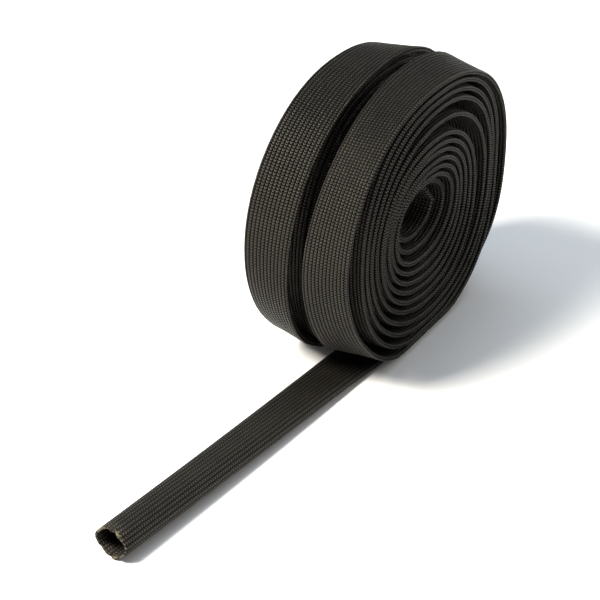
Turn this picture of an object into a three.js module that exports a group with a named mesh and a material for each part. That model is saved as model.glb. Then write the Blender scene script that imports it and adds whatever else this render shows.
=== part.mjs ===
// A heat-resistant sleeve: one long knitted glass-fibre tube, pressed flat and wound into two rolls that
// stand side by side on their rims. The outer end runs out along the ground and opens into a round tube.
// Millimetres, +Z up. The rolls turn about X, the free end points to -Y, and the origin lies on the
// ground under the middle of the whole part.
import * as THREE from "three";

// The tube
const BORE = 10.5;
const WALL = 0.9;
const FLAT_THICKNESS = 1.8;

// The rolls: how many turns lie in the heart, the inner pack and the outer pack, below the loose last turn
const HEART_TURNS = 2;
const INNER_TURNS = 5;
const OUTER_TURNS = 3;
const ROLL_GAP = 6.2;
const ROLL_HEIGHT = 109.8;
const ROLL_DEPTH = 119;
const GROUND_FLAT = 0.4;
const PRESSED_PITCH = 2.3;

// How far the turns lean outwards at the gap between the rolls: more in the outer turns, none on the ground
const LEAN = 0.13;
const LEAN_HEIGHT = 20;

// Ovals that the turns pass through, as [middle along Y, middle along Z, half along Y, half along Z,
// fullness], where a fullness of 2 is an ellipse and more is squarer
const HEART_OVAL = [-5.0, 57.9, 14.2, 9.2, 2.0];
const CORE_OVAL = [-3.3, 56.0, 20.8, 16.6, 2.15];
const INNER_PACK_OVAL = [-0.6, 53.0, 35.8, 35.4, 2.1];
const OUTER_PACK_OVAL = [1.4, 55.0, 42.4, 42.7, 2.1];
const LAST_PACK_OVAL = [1.1, 54.6, 50.8, 51.0, 2.3];
const LAST_FULLNESS = 2.15;
const LOOSE_TURN_START = 0.25;

// The heart, whose turns stand in towards the gap. The sleeve crosses there from one roll to the other in a
// little over one turn, so that its inner end comes to lie at the foot of the left roll's back.
const HEART_SHIFT = 2.85;
const CROSSING_TURN = 1.04;
const CROSSING_DIP = 1.0;
const CROSSING_START = 0.2;

// The free end on the ground, which already drifts sideways in the last part of its turn under the roll
const DRIFT = 4.6;
const DRIFT_TURN = 0.2;
const TAIL_LENGTH = 166;
const TAIL_SHIFT = 9.9;
const TAIL_FLAT_LENGTH = 26;
const BORE_DEPTH = 112;

// Fineness
const STEPS_PER_TURN = 22;
const TAIL_STEPS = 20;
const ARC_ANGLES = [-72, -36, 0, 36, 72].map(THREE.MathUtils.degToRad);

const OPEN_RADIUS = BORE / 2 + WALL;
const FLAT_RADIUS = FLAT_THICKNESS / 2;
const HALF_ROUND = (Math.PI * (BORE + WALL)) / 2;
const FLAT_WIDTH = halfStraight(FLAT_RADIUS) * 2 + FLAT_THICKNESS;
const ROLL_X = (FLAT_WIDTH + ROLL_GAP) / 2;
const TURNS = INNER_TURNS + 1 + OUTER_TURNS + 1;
const LAST_OVAL = [
  0,
  ROLL_HEIGHT / 2 - GROUND_FLAT,
  ROLL_DEPTH / 2 - FLAT_RADIUS,
  ROLL_HEIGHT / 2 + GROUND_FLAT - FLAT_RADIUS,
  LAST_FULLNESS,
];
const OVALS = [
  { turn: -HEART_TURNS, oval: HEART_OVAL },
  { turn: 0, oval: CORE_OVAL },
  { turn: INNER_TURNS, oval: INNER_PACK_OVAL },
  { turn: INNER_TURNS + 1, oval: OUTER_PACK_OVAL },
  { turn: TURNS - 1, oval: LAST_PACK_OVAL },
  { turn: TURNS - 1 + LOOSE_TURN_START, oval: LAST_OVAL },
  { turn: TURNS, oval: LAST_OVAL },
];

// Half of the straight part of the flattened tube, whose wall keeps its length as the tube opens
function halfStraight(radius) {
  const middle = radius - WALL / 2;
  return Math.max(0, (HALF_ROUND - Math.PI * middle) / 2);
}

// The oval at a turn counted from the core; below the heart it goes on shrinking
function ovalAt(turn) {
  let next = OVALS.findIndex((key, index) => index > 0 && turn <= key.turn);
  if (next < 0) next = OVALS.length - 1;
  const from = OVALS[next - 1];
  const to = OVALS[next];
  const share = Math.min((turn - from.turn) / (to.turn - from.turn), 1);
  return from.oval.map((value, index) => value + (to.oval[index] - value) * share);
}

// A cosine or sine of an oval that is squarer than an ellipse
function rounded(value, fullness) {
  return Math.sign(value) * Math.abs(value) ** (2 / fullness);
}

// A point of the winding, at an angle measured from +Y up towards +Z
function windingPoint(x, turn, angle) {
  const [middleY, middleZ, halfY, halfZ, fullness] = ovalAt(turn);
  const y = middleY + halfY * rounded(Math.cos(angle), fullness);
  const z = middleZ + halfZ * rounded(Math.sin(angle), fullness);
  const lowest = FLAT_RADIUS + Math.max(0, TURNS - turn) * PRESSED_PITCH;
  return new THREE.Vector3(x, y, Math.max(z, lowest));
}

// The free end, from its cut to the bottom of the right roll
function tailPoints() {
  const points = [];
  for (let step = 0; step < TAIL_STEPS; step += 1) {
    const out = 1 - step / TAIL_STEPS;
    const radius = tubeRadius(out * TAIL_LENGTH);
    const x = ROLL_X - DRIFT - TAIL_SHIFT * out;
    points.push({ place: new THREE.Vector3(x, -TAIL_LENGTH * out, radius), radius, lean: 0 });
  }
  return points;
}

// The radius of the folded edges at a distance out from the roll: flat at first, then opening to round
function tubeRadius(distance) {
  const share = THREE.MathUtils.clamp(
    (distance - TAIL_FLAT_LENGTH) / (TAIL_LENGTH - TAIL_FLAT_LENGTH), 0, 1);
  return FLAT_RADIUS + (OPEN_RADIUS - FLAT_RADIUS) * share;
}

// The lean of a turn at a height above the ground
function leanAt(turn, height) {
  return LEAN * Math.max(turn / TURNS, 0) * THREE.MathUtils.smoothstep(height, 0, LEAN_HEIGHT);
}

// Both rolls as one run: in through the right roll, across the heart, and out through the left roll
function rollPoints() {
  const points = [];
  const wound = (TURNS + HEART_TURNS) * STEPS_PER_TURN;
  const crossing = Math.round(CROSSING_TURN * STEPS_PER_TURN);
  for (let step = 0; step <= wound + crossing + wound; step += 1) {
    const angle = -Math.PI / 2 + (step / STEPS_PER_TURN) * 2 * Math.PI;
    const across = THREE.MathUtils.clamp((step - wound) / crossing, 0, 1);
    const fromHeart = Math.max(wound - step, step - wound - crossing, 0) / STEPS_PER_TURN;
    const turn = fromHeart - HEART_TURNS - CROSSING_DIP * Math.sin(Math.PI * across);
    const side = 1 - 2 * THREE.MathUtils.smoothstep(across, CROSSING_START, 1 - CROSSING_START);
    const heart = THREE.MathUtils.clamp(-turn / HEART_TURNS, 0, 1);
    const settled = THREE.MathUtils.smoothstep(step / STEPS_PER_TURN, 0, DRIFT_TURN);
    const x = side * (ROLL_X - HEART_SHIFT * heart) - DRIFT * (1 - settled);
    const place = windingPoint(x, turn, angle);
    points.push({ place, radius: FLAT_RADIUS, lean: side * leanAt(turn, place.z) });
  }
  return points;
}

// One closed outline across the sleeve, round its folded edges
function outline({ place, lean }, along, radius, straight) {
  const level = new THREE.Vector3(1, 0, 0).addScaledVector(along, -along.x).normalize();
  const inward = new THREE.Vector3().crossVectors(level, along);
  const wide = level.addScaledVector(inward, lean).normalize();
  const thick = new THREE.Vector3().crossVectors(wide, along);
  const ring = [];
  for (const side of [1, -1]) {
    for (const angle of ARC_ANGLES) {
      const w = side * (straight + radius * Math.cos(angle));
      const t = side * radius * Math.sin(angle);
      ring.push(place.clone().addScaledVector(wide, w).addScaledVector(thick, t));
    }
  }
  return ring;
}

// Direction of the run at each point, from its neighbours
function directions(points) {
  return points.map((point, index) => {
    const before = points[Math.max(index - 1, 0)].place;
    const after = points[Math.min(index + 1, points.length - 1)].place;
    return after.clone().sub(before).normalize();
  });
}

// Joins rings into one skin: out along the outside, back along the bore, closed at both ends
function skin(rings) {
  const sides = rings[0].length;
  const positions = rings.flat().flatMap((point) => point.toArray());
  const indices = [];
  for (let ring = 0; ring + 1 < rings.length; ring += 1) {
    for (let side = 0; side < sides; side += 1) {
      const next = (side + 1) % sides;
      const a = ring * sides + side;
      const b = ring * sides + next;
      indices.push(a, b + sides, b, a, a + sides, b + sides);
    }
  }
  closeEnd(indices, 0, sides, true);
  closeEnd(indices, (rings.length - 1) * sides, sides, false);
  const geometry = new THREE.BufferGeometry();
  geometry.setAttribute("position", new THREE.Float32BufferAttribute(positions, 3));
  geometry.setIndex(indices);
  geometry.computeVertexNormals();
  return geometry;
}

// A fan over an end ring
function closeEnd(indices, first, sides, isStart) {
  for (let side = 1; side + 1 < sides; side += 1) {
    const a = first + side;
    const b = first + side + 1;
    if (isStart) indices.push(first, a, b);
    else indices.push(first, b, a);
  }
}

// The whole sleeve as one solid with an open bore in its free end
function sleeveGeometry() {
  const tail = tailPoints();
  const points = [...tail, ...rollPoints()];
  const along = directions(points);
  const outside = points.map((point, index) =>
    outline(point, along[index], point.radius, halfStraight(point.radius)));
  const bored = tail.filter(({ place }) => place.y < -(TAIL_LENGTH - BORE_DEPTH));
  const bore = bored.map((point, index) =>
    outline(point, along[index], point.radius - WALL, halfStraight(point.radius)));
  return skin([...bore.reverse(), ...outside]);
}

function sleeveMesh() {
  const fabric = new THREE.MeshStandardMaterial({ color: 0x1d1c19, roughness: 0.72, metalness: 0 });
  const mesh = new THREE.Mesh(sleeveGeometry(), fabric);
  mesh.name = "sleeve";
  return mesh;
}

// Moves the part so that the origin is under the middle of it
function centred(mesh) {
  const group = new THREE.Group();
  group.add(mesh);
  const box = new THREE.Box3().setFromObject(mesh);
  mesh.position.set(-(box.min.x + box.max.x) / 2, -(box.min.y + box.max.y) / 2, -box.min.z);
  return group;
}

export default centred(sleeveMesh());
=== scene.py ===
"""Looks of a heat-resistant sleeve: a knitted glass-fibre tube, pressed flat and wound into two rolls.

Metres, +Z up, in the frame of the CAD model. The rolls turn about X and the open end points to -Y.
"""

import math

import bpy
import numpy as np
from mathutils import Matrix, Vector


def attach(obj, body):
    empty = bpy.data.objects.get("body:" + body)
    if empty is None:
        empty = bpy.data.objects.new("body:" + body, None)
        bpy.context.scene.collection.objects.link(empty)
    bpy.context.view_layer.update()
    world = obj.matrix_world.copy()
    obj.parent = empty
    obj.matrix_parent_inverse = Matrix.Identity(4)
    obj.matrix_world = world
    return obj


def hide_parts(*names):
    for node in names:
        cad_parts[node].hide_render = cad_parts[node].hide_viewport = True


# The tube
BORE = 0.0105
WALL = 0.0009
FLAT_THICKNESS = 0.0018

# The rolls, as in the CAD model
HEART_TURNS = 2
INNER_TURNS = 5
OUTER_TURNS = 3
ROLL_GAP = 0.0062
ROLL_HEIGHT = 0.1098
ROLL_DEPTH = 0.119
GROUND_FLAT = 0.0004
PRESSED_PITCH = 0.0023
CROSSING_TURN = 23 / 22
CROSSING_DIP = 1.0
CROSSING_START = 0.2
HEART_SHIFT = 0.00285
LOOSE_TURN_START = 0.25

# How far the turns lean at the gap between the rolls, more in the outer turns and none on the ground:
# outwards at the back of the top and low at the front, inwards at the front of the top
LEAN = 0.20
LEAN_HEIGHT = 0.020

# Ovals that the turns pass through: middle along Y and Z, half along Y and Z, and fullness (2 is an ellipse)
HEART_OVAL = (-0.0050, 0.0579, 0.0142, 0.0092, 2.0)
CORE_OVAL = (-0.0033, 0.0560, 0.0208, 0.0166, 2.15)
INNER_PACK_OVAL = (-0.0006, 0.0530, 0.0358, 0.0354, 2.1)
OUTER_PACK_OVAL = (0.0014, 0.0550, 0.0424, 0.0427, 2.1)
LAST_PACK_OVAL = (0.0011, 0.0540, 0.0508, 0.0530, 2.4)
LAST_FULLNESS = 2.15

# The free end on the ground, which already drifts sideways in the last part of its turn under the roll
DRIFT = 0.0046
DRIFT_TURN = 0.2
TAIL_LENGTH = 0.166
TAIL_SHIFT = 0.0099
TAIL_BOW = 0.0009
TAIL_FLAT_LENGTH = 0.026
TAIL_OPENING = 0.64
BORE_DEPTH = 0.112

# The rolls lean towards +X above a height, by this much at the top
TOP_SHIFT = 0.0022
UPRIGHT_HEIGHT = 0.045

# From the middle of the rolls to the origin, which lies under the middle of the whole part
ROLLS_BACK = 0.05324

# How far the turns stray sideways, over what length, and the mean turn's length as a share of the last one's
STRAY = 0.0004
STRAY_LENGTH = 0.045
MEAN_TURN_SHARE = 0.625
STRAY_SEED = 3

# The knit in relief
RIBS = 26
RIB_DEPTH = 0.00020
STITCH = 0.0011
CUT_RAGGEDNESS = 0.00045
CUT_SEED = 7

# The folded edges of the flat sleeve stand fuller than its middle, and the open end keeps their creases
EDGE_FULLNESS = 0.00026
EDGE_SHARPNESS = 6
EDGE_LEVEL = 0.35
FLAT_FOLDS_ACROSS = 6
CREASE = 0.0008
CREASE_SHARPNESS = 12

# Fineness
POINTS_PER_RIB = 3
RING_STEP = 0.0048
TAIL_SAMPLES = 400
SAMPLES_PER_TURN = 720

# The stitches in the material: edges and tops as distances from the middle of a rib or a stitch, in shares of
# it, and rows of stitches counted from the cut
RIB_EDGE = 0.48
RIB_TOP = 0.14
STITCH_EDGE = 0.38
STITCH_TOP = 0.05
STITCH_SLANT = 1.6
STITCH_WANDER = 0.9
PRESSED_ROW = 190.0
RELAXED_ROW = 120.0
RELAXED_SHARE = 0.55
RELAXED_HEIGHT = 0.30
FUZZ_HEIGHT = 0.3
BUMP_DEPTH = 0.00028
CUT_ROW = 0.9
CUT_ROW_FULL = 0.1

# How fine the material's noises are, and how many octaves they have
WANDER_NOISE = (260.0, 2.0)
FUZZ_NOISE = (9000.0, 3.0)
WEAR_NOISE = (90.0, 3.0)
FLECK_NOISE = (2600.0, 1.0)
CUT_NOISE = (520.0, 3.0)

# Where those noises begin and end to show as worn yarn, pale flecks and cut fibres
WEAR_RANGE = (0.42, 0.72)
FLECK_RANGE = (0.62, 0.74)
CUT_RANGE = (0.5, 0.66)

# Colours of the yarn; the groove colour is painted shade that darkens the grooves between the stitches
PAINTED_GROOVE_SHADE = (0.0020, 0.0019, 0.0017, 1)
YARN = (0.0055, 0.0050, 0.0042, 1)
WORN_YARN = (0.011, 0.0098, 0.0075, 1)
PALE_FIBRE = (0.06, 0.054, 0.040, 1)
CUT_FIBRE = (0.10, 0.088, 0.052, 1)

# Shine, from the bottom of a groove to the top of a stitch
GROOVE_ROUGHNESS = 0.6
YARN_ROUGHNESS = 0.28
GROOVE_SPECULAR = 0.04
YARN_SPECULAR = 1.0
SPECULAR_RANGE = (0.05, 0.85)
YARN_GLOSS = (1.0, 0.93, 0.80, 1)

OPEN_RADIUS = BORE / 2 + WALL
FLAT_RADIUS = FLAT_THICKNESS / 2
TURNS = INNER_TURNS + 1 + OUTER_TURNS + 1
LAST_OVAL = (
    0.0,
    ROLL_HEIGHT / 2 - GROUND_FLAT,
    ROLL_DEPTH / 2 - FLAT_RADIUS,
    ROLL_HEIGHT / 2 + GROUND_FLAT - FLAT_RADIUS,
    LAST_FULLNESS,
)
OVAL_TURNS = (-HEART_TURNS, 0, INNER_TURNS, INNER_TURNS + 1, TURNS - 1, TURNS - 1 + LOOSE_TURN_START, TURNS)
OVALS = np.array([
    HEART_OVAL, CORE_OVAL, INNER_PACK_OVAL, OUTER_PACK_OVAL, LAST_PACK_OVAL, LAST_OVAL, LAST_OVAL])

# The camera
CAMERA_AIM = Vector((-0.0188, 0.0273, 0.0180))
CAMERA_DISTANCE = 0.752
CAMERA_AZIMUTH = math.radians(32.7)
CAMERA_ELEVATION = math.radians(33.2)
CAMERA_LENS = 120

# The point that all lights are aimed at
LIGHTS_AIM = Vector((0, 0.03, 0.04))


def half_straight(radius):
    """Half of the straight part of the flattened tube, whose wall keeps its length as the tube opens."""
    half_round = math.pi * (BORE + WALL) / 2
    return np.maximum(0, (half_round - math.pi * (radius - WALL / 2)) / 2)


ROLL_X = float(half_straight(FLAT_RADIUS)) + FLAT_RADIUS + ROLL_GAP / 2


def smooth(share):
    share = np.clip(share, 0, 1)
    return share ** 2 * (3 - 2 * share)


def oval_at(turn):
    """The oval at each turn, which goes on shrinking below the first one."""
    key = np.clip(np.searchsorted(OVAL_TURNS, turn, side="left"), 1, len(OVAL_TURNS) - 1)
    low = np.array(OVAL_TURNS)[key - 1]
    high = np.array(OVAL_TURNS)[key]
    share = np.minimum((turn - low) / (high - low), 1)[:, None]
    return OVALS[key - 1] * (1 - share) + OVALS[key] * share


def rounded(value, fullness):
    """A cosine or sine of an oval that is squarer than an ellipse."""
    return np.sign(value) * np.abs(value) ** (2 / fullness)


def winding(x, turn, angle):
    """Points of the winding at an angle measured from +Y up towards +Z."""
    middle_y, middle_z, half_y, half_z, fullness = oval_at(turn).T
    y = middle_y + half_y * rounded(np.cos(angle), fullness)
    z = middle_z + half_z * rounded(np.sin(angle), fullness)
    lowest = FLAT_RADIUS + np.maximum(0, TURNS - turn) * PRESSED_PITCH
    return np.stack([x, y, np.maximum(z, lowest)], axis=1)


def tube_radius(distance):
    """Radius of the folded edges at a distance out from the roll: flat at first, then opening to round."""
    share = np.clip((distance - TAIL_FLAT_LENGTH) / (TAIL_LENGTH - TAIL_FLAT_LENGTH), 0, 1)
    return FLAT_RADIUS + (OPEN_RADIUS - FLAT_RADIUS) * share ** TAIL_OPENING


def tail(samples):
    """The free end, from its cut to the bottom of the right roll."""
    out = np.linspace(1, 0, samples, endpoint=False)
    radius = tube_radius(out * TAIL_LENGTH)
    x = ROLL_X - DRIFT - TAIL_SHIFT * out + TAIL_BOW * np.sin(math.pi * out)
    return np.stack([x, -TAIL_LENGTH * out, radius], axis=1), radius


def rolls(samples_per_turn):
    """Both rolls as one run: in through the right one, across the heart and out through the left one."""
    one_roll = TURNS + HEART_TURNS
    total = 2 * one_roll + CROSSING_TURN
    wound = np.linspace(0, total, int(total * samples_per_turn) + 1)
    across = np.clip((wound - one_roll) / CROSSING_TURN, 0, 1)
    from_heart = np.maximum(np.maximum(one_roll - wound, wound - one_roll - CROSSING_TURN), 0)
    turn = from_heart - HEART_TURNS - CROSSING_DIP * np.sin(math.pi * across)
    side = 1 - 2 * smooth((across - CROSSING_START) / (1 - 2 * CROSSING_START))
    heart = np.clip(-turn / HEART_TURNS, 0, 1)
    x = side * (ROLL_X - HEART_SHIFT * heart) - DRIFT * (1 - smooth(wound / DRIFT_TURN))
    angle = 2 * math.pi * wound - math.pi / 2
    points = winding(x, turn, angle)
    points[:, 0] += TOP_SHIFT * smooth((points[:, 2] - UPRIGHT_HEIGHT) / (ROLL_HEIGHT - UPRIGHT_HEIGHT))
    lean = LEAN * np.sin(2 * angle) * side * np.maximum(turn / TURNS, 0)
    lean *= smooth(points[:, 2] / LEAN_HEIGHT)
    return points, lean


def stray(samples):
    """Small sideways strays of the turns, so that their folds don't lie in one plane."""
    rng = np.random.default_rng(STRAY_SEED)
    wound_length = 2 * TURNS * math.pi * ROLL_DEPTH * MEAN_TURN_SHARE
    knots = rng.uniform(-STRAY, STRAY, round(wound_length / STRAY_LENGTH))
    knots[0] = 0
    place = np.linspace(0, len(knots) - 1, samples)
    low = np.minimum(place.astype(int), len(knots) - 2)
    share = smooth(place - low)
    return knots[low] * (1 - share) + knots[low + 1] * share


def run():
    """The middle line of the sleeve at even steps, with the radius of its folds, its lean and its length."""
    tail_points, tail_radius = tail(TAIL_SAMPLES)
    roll_points, roll_lean = rolls(SAMPLES_PER_TURN)
    roll_points[:, 0] += stray(len(roll_points))
    points = np.concatenate([tail_points, roll_points]) + (0, ROLLS_BACK, 0)
    radius = np.concatenate([tail_radius, np.full(len(roll_points), FLAT_RADIUS)])
    lean = np.concatenate([np.zeros(len(tail_points)), roll_lean])
    length = np.concatenate([[0], np.cumsum(np.linalg.norm(np.diff(points, axis=0), axis=1))])
    even = np.linspace(0, length[-1], round(length[-1] / RING_STEP) + 1)
    even_points = np.stack([np.interp(even, length, points[:, axis]) for axis in range(3)], axis=1)
    return even_points, np.interp(even, length, radius), np.interp(even, length, lean), even


def frames(points, lean):
    """Direction along the run, across it in the plane of the flat sleeve, and through its thickness."""
    along = np.gradient(points, axis=0)
    along /= np.linalg.norm(along, axis=1)[:, None]
    level = np.array([1.0, 0, 0]) - along[:, :1] * along
    level /= np.linalg.norm(level, axis=1)[:, None]
    wide = level + lean[:, None] * np.cross(level, along)
    wide /= np.linalg.norm(wide, axis=1)[:, None]
    return along, wide, np.cross(wide, along)


def outline(radius, straight, around):
    """Places and outward normals round a flattened tube, at shares of its girth from the right fold."""
    quarter = math.pi * radius / 2
    girth = 4 * straight + 4 * quarter
    place = (around * girth) % girth
    on_top = (place >= quarter) & (place < quarter + 2 * straight)
    on_bottom = (place >= 3 * quarter + 2 * straight) & (place < 3 * quarter + 4 * straight)
    angle = np.where(place < quarter, place, place - 4 * straight - 4 * quarter) / radius
    left = (place >= quarter + 2 * straight) & (place < 3 * quarter + 2 * straight)
    angle = np.where(left, (place - 2 * straight) / radius, angle)
    angle = np.where(on_top, math.pi / 2, np.where(on_bottom, -math.pi / 2, angle))
    centre = np.where(left, -straight, straight)
    centre = np.where(on_top, straight - (place - quarter), centre)
    centre = np.where(on_bottom, -straight + (place - 3 * quarter - 2 * straight), centre)
    normal = np.stack([np.cos(angle), np.sin(angle)], axis=1)
    return np.stack([centre, np.zeros_like(centre)], axis=1) + normal * radius, normal


def knit_relief(around):
    """Height of the ribs round the outline: a groove at the edge of each rib."""
    share = (around * RIBS) % 1
    return np.where(share < 0.5 / POINTS_PER_RIB, -RIB_DEPTH, 0)


def crease_relief(normal, radius):
    """The creases of the pressed sleeve, which stay at both sides of its open end."""
    opened = (radius - FLAT_RADIUS) / (OPEN_RADIUS - FLAT_RADIUS)
    return CREASE * opened * np.abs(normal[:, 0]) ** CREASE_SHARPNESS


def edge_relief(places, straight, radius):
    """The folded edges of the flat sleeve stand a little fuller than its middle."""
    across = np.abs(places[:, 0]) / (straight + radius)
    flatness = np.clip(straight / (FLAT_FOLDS_ACROSS * radius), 0, 1)
    return EDGE_FULLNESS * flatness * (across ** EDGE_SHARPNESS - EDGE_LEVEL)


def in_space(flat, place, wide, thick):
    """Places of a flat outline across the run at one of its points."""
    return place + flat[:, :1] * wide + flat[:, 1:] * thick


def outer_outline(radius, around):
    """The knitted outside, with its ribs, its fuller folds and its creases."""
    straight = float(half_straight(radius))
    flat, normal = outline(radius, straight, around)
    relief = knit_relief(around) + edge_relief(flat, straight, radius) + crease_relief(normal, radius)
    return flat + normal * relief[:, None]


def bore_outline(radius, around):
    """The inside of the wall, which follows the creases only."""
    flat, normal = outline(radius - WALL, float(half_straight(radius)), around)
    return flat + normal * crease_relief(normal, radius)[:, None]


def rings():
    """All rings of the skin: in along the bore to the cut, then out along the whole sleeve."""
    points, radius, lean, length = run()
    along, wide, thick = frames(points, lean)
    count = RIBS * POINTS_PER_RIB
    around = np.arange(count) / count
    outside = [
        in_space(outer_outline(radius[at], around), points[at], wide[at], thick[at])
        for at in range(len(points))]
    bored = np.flatnonzero(length < BORE_DEPTH)[::-1]
    inside = [
        in_space(bore_outline(radius[at], around), points[at], wide[at], thick[at])
        for at in bored]
    rag = ragged_cut(count)[:, None] * along[0]
    outside[0] = outside[0] + rag
    inside[-1] = inside[-1] + rag
    stations = np.concatenate([-length[bored], length])
    return np.array(inside + outside), stations


def ragged_cut(count):
    """How far each yarn stands short of the cut, so that the end is a little uneven."""
    rng = np.random.default_rng(CUT_SEED)
    knots = rng.uniform(-1, 1, RIBS + 1)
    knots[-1] = knots[0]
    return CUT_RAGGEDNESS * np.interp(np.arange(count) * RIBS / count, np.arange(RIBS + 1), knots)


def skin_faces(ring_count, sides):
    """Quads between the rings, which close round the sleeve."""
    ring = np.arange(ring_count - 1)[:, None] * sides
    side = np.arange(sides)[None, :]
    following = (side + 1) % sides
    a, b = ring + side, ring + following
    return np.stack([a, a + sides, b + sides, b], axis=2).reshape(-1, 4)


def knit_map(mesh, stations, sides, quad_corners):
    """Maps each quad's corners: rows of stitches along the sleeve, and ribs round it."""
    ribs_at = np.tile(np.arange(sides) * RIBS / sides, (len(stations) - 1, 1))
    rib = np.stack([ribs_at, ribs_at, ribs_at + RIBS / sides, ribs_at + RIBS / sides], axis=2)
    rows = stations / STITCH
    low = np.tile(rows[:-1, None], (1, sides))
    high = np.tile(rows[1:, None], (1, sides))
    row = np.stack([low, high, high, low], axis=2)
    flat = np.zeros((len(mesh.loops), 2))
    flat[:quad_corners, 0] = row.reshape(-1)
    flat[:quad_corners, 1] = rib.reshape(-1)
    mesh.uv_layers.new(name="knit").data.foreach_set("uv", flat.ravel().astype(np.float32))


def sleeve():
    """The whole sleeve as one closed mesh, with a map of its ribs and stitches."""
    places, stations = rings()
    ring_count, sides = places.shape[:2]
    quads = skin_faces(ring_count, sides)
    caps = [list(range(sides)), list(range((ring_count - 1) * sides, ring_count * sides))[::-1]]
    mesh = bpy.data.meshes.new("knitted_sleeve")
    mesh.from_pydata(places.reshape(-1, 3).tolist(), [], quads.tolist() + caps)
    knit_map(mesh, stations, sides, quads.size)
    mesh.shade_smooth()
    mesh.update()
    piece = bpy.data.objects.new("knitted_sleeve", mesh)
    bpy.context.collection.objects.link(piece)
    return piece


class Nodes:
    """Short calls for building a material's nodes."""

    def __init__(self, name):
        self.material = bpy.data.materials.new(name)
        self.material.use_nodes = True
        self.tree = self.material.node_tree
        self.shader = self.tree.nodes["Principled BSDF"]

    def add(self, kind, **settings):
        made = self.tree.nodes.new(kind)
        for name, value in settings.items():
            setattr(made, name, value)
        return made

    def feed(self, socket, value):
        if isinstance(value, bpy.types.NodeSocket):
            self.tree.links.new(value, socket)
        else:
            socket.default_value = value

    def math(self, operation, *values):
        made = self.add("ShaderNodeMath", operation=operation)
        for socket, value in zip(made.inputs, values):
            self.feed(socket, value)
        return made.outputs[0]

    def blend(self, share, low, high):
        made = self.add("ShaderNodeMix", data_type="RGBA")
        self.feed(made.inputs["Factor"], share)
        self.feed(made.inputs["A"], low)
        self.feed(made.inputs["B"], high)
        return made.outputs["Result"]

    def span(self, value, low, high, to_low=0.0, to_high=1.0):
        made = self.add("ShaderNodeMapRange", interpolation_type="SMOOTHSTEP")
        for name, number in (("From Min", low), ("From Max", high), ("To Min", to_low), ("To Max", to_high)):
            made.inputs[name].default_value = number
        self.feed(made.inputs["Value"], value)
        return made.outputs["Result"]

    def noise(self, fineness, vector):
        made = self.add("ShaderNodeTexNoise")
        scale, detail = fineness
        made.inputs["Scale"].default_value = scale
        made.inputs["Detail"].default_value = detail
        self.feed(made.inputs["Vector"], vector)
        return made.outputs["Fac"]

    def off_middle(self, value):
        """Distance from the middle of each whole step of a value."""
        return self.math("ABSOLUTE", self.math("SUBTRACT", self.math("FRACT", value), 0.5))


def stitch_height(n, row, rib, place):
    """Height of the yarn: stitches slanted to both sides of each rib, which relax in the open end."""
    off_rib = n.off_middle(rib)
    wander = n.math("MULTIPLY", n.noise(WANDER_NOISE, place), STITCH_WANDER)
    slanted = n.math("ADD", n.math("MULTIPLY", off_rib, STITCH_SLANT), n.math("ADD", row, wander))
    crown = n.span(off_rib, RIB_EDGE, RIB_TOP)
    loop = n.span(n.off_middle(slanted), STITCH_EDGE, STITCH_TOP)
    woven = n.math("MULTIPLY", crown, loop)
    relaxed = n.span(row, PRESSED_ROW, RELAXED_ROW, 0.0, RELAXED_SHARE)
    tight = n.math("SUBTRACT", 1.0, relaxed)
    return n.math("ADD", n.math("MULTIPLY", woven, tight), n.math("MULTIPLY", relaxed, RELAXED_HEIGHT))


def knit_colour(n, row, place, height):
    """Dark yarn with painted shade in the grooves between the stitches, worn patches and pale flecks, and tan
    fibres in places along the cut.
    """
    base = n.blend(n.span(n.noise(WEAR_NOISE, place), *WEAR_RANGE), YARN, WORN_YARN)
    # Painted shade: the colour goes from the dark groove colour in the grooves to the lighter yarn colour on
    # the tops of the stitches
    knit = n.blend(height, PAINTED_GROOVE_SHADE, base)
    flecks = n.span(n.noise(FLECK_NOISE, place), *FLECK_RANGE)
    flecked = n.blend(n.math("MULTIPLY", flecks, height), knit, PALE_FIBRE)
    near_cut = n.span(n.math("ABSOLUTE", row), CUT_ROW, CUT_ROW_FULL)
    cut = n.math("MULTIPLY", near_cut, n.span(n.noise(CUT_NOISE, place), *CUT_RANGE))
    return n.blend(cut, flecked, CUT_FIBRE)


def knit_material():
    """Black knitted glass fibre: rope-like ribs of small slanted stitches that catch the light."""
    n = Nodes("black_glass_knit")
    parts = n.add("ShaderNodeSeparateXYZ")
    n.feed(parts.inputs[0], n.add("ShaderNodeUVMap", uv_map="knit").outputs[0])
    row, rib = parts.outputs[0], parts.outputs[1]
    place = n.add("ShaderNodeTexCoord").outputs["Object"]
    height = stitch_height(n, row, rib, place)
    bump = n.add("ShaderNodeBump")
    bump.inputs["Strength"].default_value = 1.0
    bump.inputs["Distance"].default_value = BUMP_DEPTH
    fuzz = n.math("MULTIPLY", n.noise(FUZZ_NOISE, place), FUZZ_HEIGHT)
    n.feed(bump.inputs["Height"], n.math("ADD", height, fuzz))
    n.feed(n.shader.inputs["Base Color"], knit_colour(n, row, place, height))
    roughness = n.span(height, 0.0, 1.0, GROOVE_ROUGHNESS, YARN_ROUGHNESS)
    specular = n.span(height, *SPECULAR_RANGE, GROOVE_SPECULAR, YARN_SPECULAR)
    n.feed(n.shader.inputs["Roughness"], roughness)
    n.feed(n.shader.inputs["Specular IOR Level"], specular)
    n.feed(n.shader.inputs["Normal"], bump.outputs[0])
    n.shader.inputs["Specular Tint"].default_value = YARN_GLOSS
    return n.material


def floor_material():
    n = Nodes("pale_floor")
    n.shader.inputs["Base Color"].default_value = (0.70, 0.70, 0.70, 1)
    n.shader.inputs["Roughness"].default_value = 0.9
    n.shader.inputs["Specular IOR Level"].default_value = 0.1
    return n.material


def floor():
    half = 3.0
    mesh = bpy.data.meshes.new("floor")
    corners = [(-half, -half, 0), (half, -half, 0), (half, half, 0), (-half, half, 0)]
    mesh.from_pydata(corners, [], [(0, 1, 2, 3)])
    mesh.materials.append(floor_material())
    plane = bpy.data.objects.new("floor", mesh)
    bpy.context.collection.objects.link(plane)


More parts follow.
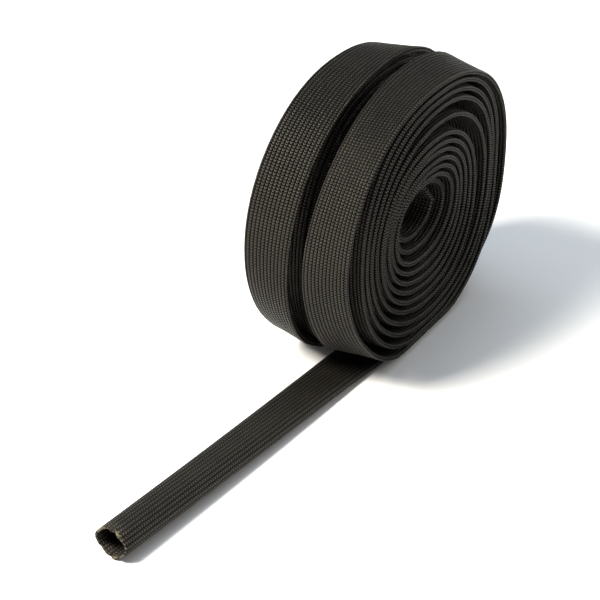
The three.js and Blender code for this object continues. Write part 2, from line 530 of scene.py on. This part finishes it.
def camera():
    data = bpy.data.cameras.new("camera")
    data.lens = CAMERA_LENS
    data.sensor_width = 36
    data.clip_start = 0.01
    made = bpy.data.objects.new("camera", data)
    flat = math.cos(CAMERA_ELEVATION)
    back = Vector((
        math.sin(CAMERA_AZIMUTH) * flat, -math.cos(CAMERA_AZIMUTH) * flat, math.sin(CAMERA_ELEVATION)))
    made.location = CAMERA_AIM + back * CAMERA_DISTANCE
    made.rotation_euler = back.to_track_quat("Z", "Y").to_euler()
    bpy.context.collection.objects.link(made)
    bpy.context.scene.camera = made


def area_light(name, place, size, power, tint):
    data = bpy.data.lights.new(name, "AREA")
    data.shape = "RECTANGLE"
    data.size, data.size_y = size
    data.energy = power
    data.color = tint
    made = bpy.data.objects.new(name, data)
    made.location = place
    made.rotation_euler = (Vector(place) - LIGHTS_AIM).to_track_quat("Z", "Y").to_euler()
    bpy.context.collection.objects.link(made)


def lights():
    """A large soft light from the front left and above, a bluish one overhead and a faint one from behind."""
    world = bpy.data.worlds.new("studio")
    world.use_nodes = True
    background = world.node_tree.nodes["Background"]
    background.inputs["Color"].default_value = (1, 1, 1, 1)
    background.inputs["Strength"].default_value = 0.30
    bpy.context.scene.world = world
    area_light("key_softbox", (-0.50, -0.72, 1.12), size=(0.42, 0.42), power=56, tint=(1.0, 0.95, 0.86))
    area_light("top_softbox", (-0.2, 0.3, 1.3), size=(1.2, 1.2), power=11, tint=(0.74, 0.87, 1.0))
    area_light("rim_softbox", (0.62, 0.85, 0.55), size=(0.5, 0.4), power=4, tint=(1.0, 0.98, 0.94))


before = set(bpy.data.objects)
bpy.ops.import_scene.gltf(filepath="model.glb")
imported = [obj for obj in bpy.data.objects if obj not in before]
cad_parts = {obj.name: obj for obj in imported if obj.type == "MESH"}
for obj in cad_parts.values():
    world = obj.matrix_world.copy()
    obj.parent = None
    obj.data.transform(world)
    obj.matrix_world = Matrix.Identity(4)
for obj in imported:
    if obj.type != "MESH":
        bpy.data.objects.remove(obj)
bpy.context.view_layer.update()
camera()
floor()
lights()
knit = sleeve()
knit.data.materials.append(knit_material())
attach(knit, "root")
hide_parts("sleeve")
bpy.context.scene.view_settings.view_transform = "Standard"
bpy.context.view_layer.update()
